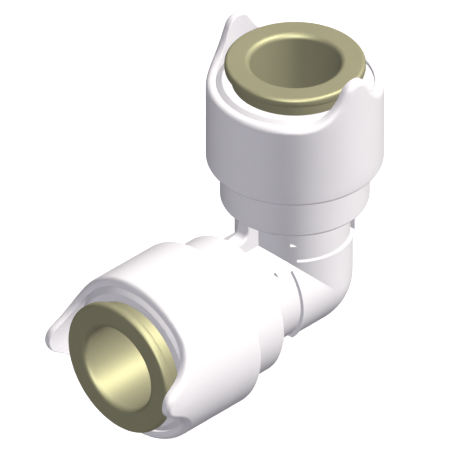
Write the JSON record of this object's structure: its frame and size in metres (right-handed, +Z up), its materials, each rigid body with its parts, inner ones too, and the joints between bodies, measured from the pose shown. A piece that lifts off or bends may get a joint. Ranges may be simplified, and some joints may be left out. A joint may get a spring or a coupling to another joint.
{
  "type": "push-fit elbow fitting",
  "caption": "Right-angle push-fit elbow for plastic tube, white with olive release collets, lying on its side.",
  "frame": {"origin": "under the middle of the outline, on the surface that the fitting lies on", "axes": "+X out of port 1 and +Y out of port 2, with +Z up, square to the plane of the two tube axes"},
  "size_m": [0.0482, 0.0482, 0.0241],
  "materials": {
    "white_plastic": "satin moulded plastic",
    "olive_plastic": "satin moulded plastic",
    "black_rubber": "smooth black rubber",
    "grey_plastic": "moulded plastic",
    "steel": "stamped stainless sheet"
  },
  "bodies": {
    "fitting": {"body": "white_plastic", "end_cap_1": "white_plastic", "end_cap_2": "white_plastic", "o_ring_1": "black_rubber", "o_ring_2": "black_rubber", "spacer_washer_1": "grey_plastic", "spacer_washer_2": "grey_plastic"},
    "release_collet_1": {"collet_1": "olive_plastic", "grip_tooth_1_1": "steel", "grip_tooth_1_2": "steel", "grip_tooth_1_3": "steel", "grip_tooth_1_4": "steel", "grip_tooth_1_5": "steel", "grip_tooth_1_6": "steel"},
    "release_collet_2": {"collet_2": "olive_plastic", "grip_tooth_2_1": "steel", "grip_tooth_2_2": "steel", "grip_tooth_2_3": "steel", "grip_tooth_2_4": "steel", "grip_tooth_2_5": "steel", "grip_tooth_2_6": "steel"}
  },
  "joints": [
    {"name": "collet_1_press", "type": "slide", "parent": "fitting", "child": "release_collet_1", "axis": [-1, 0, 0], "range_m": [0, 0.0015]},
    {"name": "collet_2_press", "type": "slide", "parent": "fitting", "child": "release_collet_2", "axis": [0, -1, 0], "range_m": [0, 0.0015]}
  ]
}
